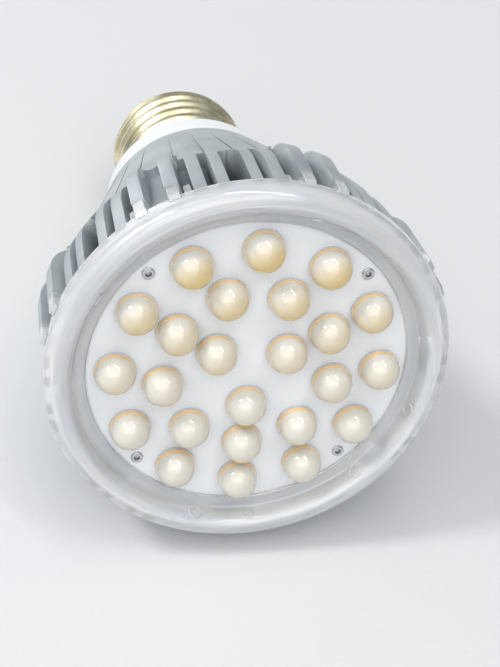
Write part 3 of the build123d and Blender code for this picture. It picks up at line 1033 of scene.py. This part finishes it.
@dataclass
class HeatSink:
    """The finned casting, whose edges get the small rounding of a die casting."""

    rounding: float = 0.2
    segments: int = 2
    angle: float = 38.0
    same_point: float = 0.002
    flat_angle: float = 0.4
    sector: float = 45.0
    pair_centre: float = 30.0
    pair_width: float = 3.6
    floor_least: float = 24.5
    floor_heights: tuple = (40.0, 57.1)
    floor_line: tuple = ((39.0, 25.6), (57.2, 28.4))
    skin_line: tuple = ((8.2, 17.6), (38.8, 25.9), (49.5, 29.3), (57.2, 29.3))
    # How far below the skin of the fins the painted shade starts, and over what depth it grows to full.
    shade_start: float = 1.2
    shade_span: float = 3.0

    def build(self, material: bpy.types.Material) -> None:
        """Copies the casting's solid, joins its triangles and rounds its edges.

        Args:
            material: Its finish.
        """
        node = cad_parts["heat_sink"]
        mesh = node.data.copy()
        sheet = bmesh.new()
        sheet.from_mesh(mesh)
        bmesh.ops.remove_doubles(sheet, verts=sheet.verts, dist=self.same_point * MM)
        bmesh.ops.dissolve_limit(
            sheet,
            angle_limit=math.radians(self.flat_angle),
            verts=sheet.verts,
            edges=sheet.edges,
            use_dissolve_boundaries=False,
        )
        bmesh.ops.recalc_face_normals(sheet, faces=sheet.faces)
        sheet.to_mesh(mesh)
        sheet.free()
        self.shape(mesh)
        piece = place_mesh("finned_casting", mesh, material, Smoothing.CAST)
        round_edges(piece, self.rounding, self.segments, self.angle).harden_normals = True
        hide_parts("heat_sink")
        LOG.info("heat sink built")

    def shape(self, mesh: bpy.types.Mesh) -> None:
        """Raises the floors between the tall fins, and writes the painted shade of each point from how far
        it lies down in a slot.

        Formula: a floor point within half of pair_width of a pair's centre is moved out to floor_line at
        its height. The painted shade is (skin radius - radius - its start) / its span, cut to 0 to 1.

        Args:
            mesh: The casting.
        """
        place = points_of(mesh)
        height = place[:, 2]
        radius = np.hypot(place[:, 0], place[:, 1])
        turn = np.degrees(np.arctan2(place[:, 1], place[:, 0])) - self.pair_centre
        beside = np.radians((turn + self.sector / 2) % self.sector - self.sector / 2) * radius
        floor = np.interp(height, *zip(*self.floor_line))
        low, high = self.floor_heights
        inside = (np.abs(beside) < self.pair_width / 2) & (height > low) & (height < high)
        inside &= (radius > self.floor_least) & (radius < floor)
        place[inside, :2] *= (floor[inside] / radius[inside])[:, None]
        mesh.vertices.foreach_set("co", (place * MM).ravel())
        mesh.update()
        skin = np.interp(height, *zip(*self.skin_line))
        depth = skin - np.where(inside, floor, radius)
        # Painted shade: the further down in a slot, the darker the casting is painted.
        write_value(mesh, "slot_shade_share", np.clip((depth - self.shade_start) / self.shade_span, 0.0, 1.0))
        LOG.info("casting: %d floor points raised", int(inside.sum()))


def dress(node: bpy.types.Object, material: bpy.types.Material) -> None:
    """Gives a CAD node one material in place of its own."""
    for slot in node.material_slots:
        slot.material = material


@dataclass
class InnerPieces:
    """The board, collar, insulator, contact and the pieces inside, which keep their own solids."""

    finishes: dict = field(default_factory=lambda: {
        "led_board": Moulding("white_board", (0.83, 0.85, 0.87), 0.3, 0.02, coat=0.3),
        "driver_housing": Moulding("white_collar", (0.86, 0.87, 0.88), 0.16, 0.02, 3.0),
        "board_rivets": PlainMetal("rivet_metal", (0.6, 0.61, 0.63), 0.25),
        "housing_screws": PlainMetal("screw_metal", (0.6, 0.6, 0.6)),
        "centre_contact": PlainMetal("contact_metal", (0.72, 0.7, 0.66), 0.25),
        "base_insulator": Moulding("black_insulator", (0.02, 0.02, 0.024), 0.12, 0.1, coat=0.6),
        "thermal_pad": Moulding("grey_pad", (0.42, 0.45, 0.48), 0.7),
        "sleeve_cap": Moulding("white_cap", (0.8, 0.8, 0.77), 0.5),
        "driver_board": Moulding("green_board", (0.05, 0.22, 0.1), 0.35),
        "input_capacitor": Moulding("capacitor_sleeve", (0.03, 0.03, 0.035), 0.35),
        "output_capacitor": Moulding("capacitor_sleeve_small", (0.03, 0.03, 0.035), 0.35),
        "transformer_core": Moulding("ferrite", (0.1, 0.1, 0.11), 0.55),
        "transformer_coil": Moulding("yellow_tape", (0.8, 0.6, 0.08), 0.35),
        "driver_chip": Moulding("chip_black", (0.03, 0.03, 0.03), 0.5),
        "bridge_rectifier": Moulding("rectifier_black", (0.03, 0.03, 0.03), 0.5),
        "film_capacitor": Moulding("red_case", (0.45, 0.08, 0.05), 0.25),
        "output_diode": Moulding("diode_black", (0.03, 0.03, 0.03), 0.4),
        "choke": Moulding("choke_ferrite", (0.1, 0.1, 0.11), 0.5),
        "fuse_resistor": Moulding("buff_coating", (0.5, 0.4, 0.26), 0.5),
        "varistor": Moulding("blue_coating", (0.06, 0.16, 0.45), 0.3),
        "led_wire_positive": Moulding("red_wire", (0.5, 0.03, 0.02), 0.4),
        "led_wire_negative": Moulding("black_wire", (0.02, 0.02, 0.02), 0.4),
        "live_wire": Moulding("live_wire_black", (0.02, 0.02, 0.02), 0.4),
        "neutral_wire": Moulding("white_wire", (0.8, 0.8, 0.8), 0.4),
    })

    def build(self) -> None:
        """Dresses each of these nodes."""
        for name, finish in self.finishes.items():
            dress(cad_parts[name], finish.material())
        LOG.info("inner pieces dressed")


@dataclass(frozen=True)
class AreaLamp:
    """A soft lamp, round where its length and width are the same."""

    name: str
    place: tuple[float, float, float]
    size: tuple[float, float]
    power: float
    along: tuple[float, float, float] = (1.0, 0.0, 0.0)

    def build(self, aim: Vector) -> None:
        """Makes the lamp, with its length as near to along as its facing allows.

        Args:
            aim: The place that it faces, in millimetres.
        """
        length, width = self.size
        data = bpy.data.lights.new(self.name, "AREA")
        data.shape = "DISK" if length == width else "RECTANGLE"
        data.size = length * MM
        data.size_y = width * MM
        data.energy = self.power
        lamp = bpy.data.objects.new(self.name, data)
        back = (Vector(self.place) - aim).normalized()
        across = back.cross(Vector(self.along)).normalized()
        turn = Matrix((across.cross(back), across, back)).transposed().to_4x4()
        lamp.matrix_world = Matrix.Translation(Vector(self.place) * MM) @ turn
        bpy.context.scene.collection.objects.link(lamp)


@dataclass
class Studio:
    """The pale floor, the lights and the camera.

    The LEDs mirror the round lamp and the slanting strip; the others light the lamp from over it, from
    before it and from behind.
    """

    fin_contact: tuple = (-30.45, 47.6)
    shell_contact: tuple = (-13.25, -22.4)
    floor_radius: float = 2500.0
    floor_sides: int = 96
    floor_colour: Colour = (0.655, 0.66, 0.667)
    floor_roughness: float = 0.9
    nap: float = 1.2
    nap_depth: float = 0.05
    world_colour: Colour = (0.88, 0.92, 0.98)
    world_strength: float = 0.34
    lamp_aim: tuple = (0.0, 0.0, 58.0)
    lamps: tuple = (
        AreaLamp("round_lamp", (-940.0, 1155.0, 230.0), (300.0, 300.0), 8.0, (0.0, 0.0, 1.0)),
        AreaLamp("strip_lamp", (160.0, 1390.0, 450.0), (1350.0, 46.0), 4.0, (0.38, -0.16, 0.515)),
        AreaLamp("key_light", (-420.0, 1130.0, 950.0), (2600.0, 1900.0), 17.5),
        AreaLamp("front_light", (-240.0, 520.0, 1440.0), (1800.0, 1800.0), 6.5),
        AreaLamp("back_light", (-800.0, 620.0, -1100.0), (900.0, 800.0), 3.0),
    )
    camera_place: tuple = (-34.53, 89.99, 194.95)
    camera_target: tuple = (-0.674, 6.344, 58.4)
    camera_roll: float = 160.8
    camera_range: tuple = (10.0, 10000.0)
    lens: float = 62.07
    sensor: float = 36.0

    def build(self) -> None:
        """Makes the floor, the world, the lamps and the camera."""
        self.make_floor()
        self.make_world()
        for lamp in self.lamps:
            lamp.build(Vector(self.lamp_aim))
        self.make_camera()
        LOG.info("studio built")

    def make_floor(self) -> None:
        """A flat round sheet on which the lamp lies, touching the tall fins and the screw shell.

        Formula: the two contacts are (y, z) points below the axis; the sheet runs through both and
        along X, so its normal is the line between them turned by 90 degrees.
        """
        fins = np.array([0.0, *self.fin_contact])
        shell = np.array([0.0, *self.shell_contact])
        along = (fins - shell) / np.linalg.norm(fins - shell)
        across = np.array([1.0, 0.0, 0.0])
        angle = np.linspace(0.0, FULL_TURN, self.floor_sides, endpoint=False)[:, None]
        rim = fins + self.floor_radius * (np.cos(angle) * across - np.sin(angle) * along)
        recipe = Recipe("pale_floor")
        recipe.set(Base_Color=(*self.floor_colour, 1.0), Roughness=self.floor_roughness)
        recipe.bump(recipe.noise(self.nap, 2.0), self.nap_depth)
        mesh = bpy.data.meshes.new("floor")
        mesh.from_pydata((rim * MM).tolist(), [], [list(range(len(rim)))])
        mesh.materials.append(recipe.material)
        floor = bpy.data.objects.new("floor", mesh)
        bpy.context.scene.collection.objects.link(floor)

    def make_world(self) -> None:
        """Even light from all round."""
        world = bpy.data.worlds.new("world")
        world.use_nodes = True
        background = world.node_tree.nodes["Background"]
        background.inputs["Color"].default_value = (*self.world_colour, 1.0)
        background.inputs["Strength"].default_value = self.world_strength
        bpy.context.scene.world = world

    def make_camera(self) -> None:
        """The camera at the photograph's angle, rolled so that the screw base is at the top."""
        data = bpy.data.cameras.new("camera")
        data.lens = self.lens
        data.sensor_width = self.sensor
        data.clip_start = self.camera_range[0] * MM
        data.clip_end = self.camera_range[1] * MM
        camera = bpy.data.objects.new("camera", data)
        place = Vector(self.camera_place) * MM
        aim = Vector(self.camera_target) * MM - place
        level = aim.to_track_quat("-Z", "Y").to_matrix().to_4x4()
        roll = Matrix.Rotation(math.radians(self.camera_roll), 4, "Z")
        camera.matrix_world = Matrix.Translation(place) @ level @ roll
        bpy.context.scene.collection.objects.link(camera)
        bpy.context.scene.camera = camera


def main() -> None:
    """Builds the lamp's pieces in order, then the studio."""
    logging.basicConfig(level=logging.INFO)
    bpy.context.scene.view_settings.view_transform = "Standard"
    phosphor = Moulding("phosphor", colour=(0.93, 0.62, 0.14), roughness=0.5, spread=0.05)
    stem_metal = PlainMetal("stem_metal", colour=(0.55, 0.56, 0.58), roughness=0.35)
    LightEngine().build(phosphor.material(), MilkyLens().material())
    RivetStems().build(stem_metal.material())
    ScrewShell().build(PlatedBrass().material())
    ClearRing().build(ClearPlastic().material())
    HeatSink().build(CastAluminium().material())
    InnerPieces().build()
    Studio().build()


if __name__ == "__main__":
    main()
